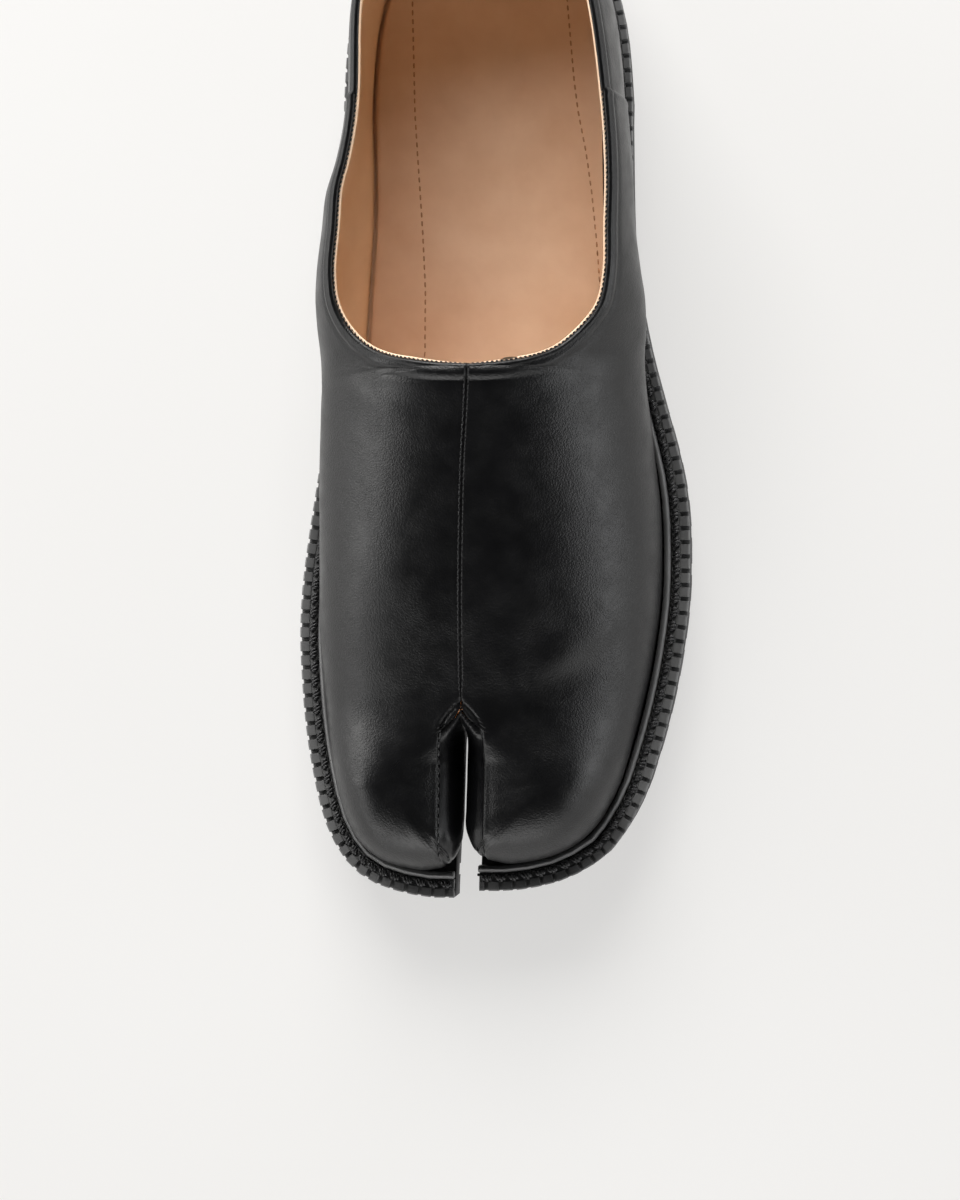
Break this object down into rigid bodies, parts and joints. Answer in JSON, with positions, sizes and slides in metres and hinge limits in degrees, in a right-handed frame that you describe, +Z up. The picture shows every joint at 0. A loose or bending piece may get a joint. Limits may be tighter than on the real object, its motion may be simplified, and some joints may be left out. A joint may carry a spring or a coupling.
{
  "type": "tabi loafer",
  "caption": "Split-toe slip-on leather shoe for the left foot, with a ribbed storm welt, rubber sole and block heel.",
  "frame": {"origin": "centre of the bounding box on the ground plane, the sole standing on it", "axes": "+Z up, -Y towards the toes, +Y towards the heel, +X towards the outer side of the left foot"},
  "size_m": [0.1088, 0.2861, 0.0827],
  "materials": {
    "upper_leather": "black smooth calf-like leather with a fine grain, semi-gloss",
    "insole_leather": "tan smooth lining leather, satin",
    "welt_rubber": "black moulded rubber, satin",
    "sole_rubber": "black moulded rubber, matt"
  },
  "bodies": {
    "root": {"upper": "upper_leather", "insole": "insole_leather", "welt_bead": "welt_rubber", "welt": "welt_rubber", "outsole": "sole_rubber", "heel": "sole_rubber", "heel_top_piece": "sole_rubber"}
  },
  "joints": []
}
